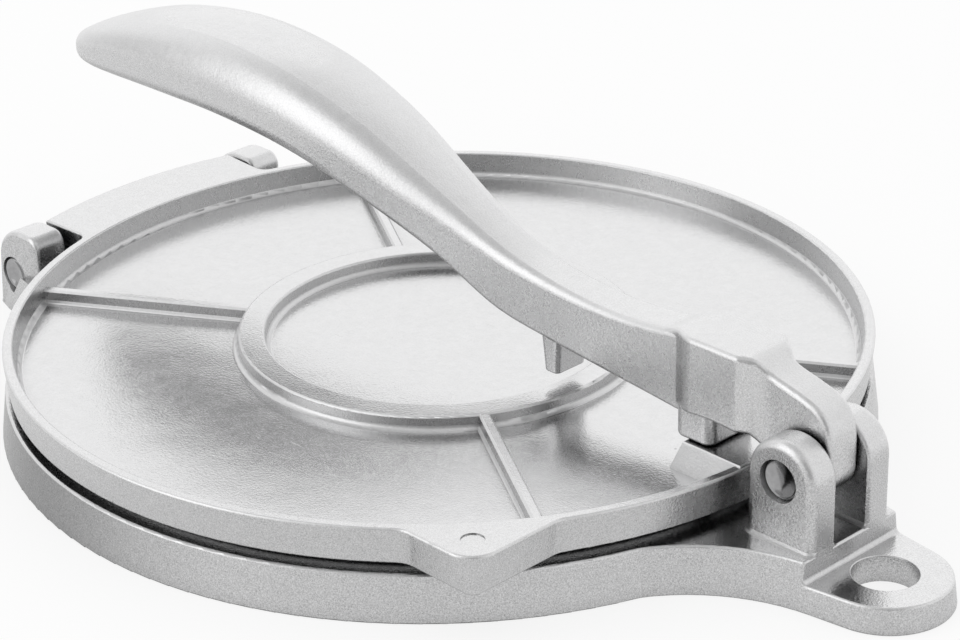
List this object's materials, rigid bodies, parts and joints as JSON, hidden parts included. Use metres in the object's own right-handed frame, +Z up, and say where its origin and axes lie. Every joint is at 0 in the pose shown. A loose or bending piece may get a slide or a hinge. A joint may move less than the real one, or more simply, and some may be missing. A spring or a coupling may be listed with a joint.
{
  "type": "tortilla press",
  "caption": "Cast aluminium tortilla press: a hinged round plate pressed onto a round base by a curved lever, with a lift tab and a hanging lug.",
  "frame": {"origin": "middle of the disc, on the plane the base stands on", "axes": "+X from the plate's hinge to the lever's pivot and the hanging lug, +Z up, +Y completes a right-handed frame; the lift tab is on the -Y side"},
  "size_m": [0.2735, 0.2028, 0.0763],
  "materials": {
    "cast_aluminium": "as cast, lightly tumbled",
    "pin_steel": "ground ends"
  },
  "bodies": {
    "base": {"base": "cast_aluminium", "hinge_pin": "pin_steel", "handle_pin": "pin_steel"},
    "plate": {"upper_plate": "cast_aluminium"},
    "lever": {"handle": "cast_aluminium"}
  },
  "joints": [
    {"name": "handle_pivot", "type": "hinge", "parent": "base", "child": "lever", "pos_m": [0.1127, 0, 0.0253], "axis": [0, 1, 0], "range_deg": [0, 150]},
    {"name": "plate_hinge", "type": "hinge", "parent": "base", "child": "plate", "pos_m": [-0.1116, 0, 0.0097], "axis": [0, -1, 0], "range_deg": [0, 105]}
  ],
  "couplings": [
    {"joint": "plate_hinge", "follows": "handle_pivot", "ratio": 0.1}
  ]
}
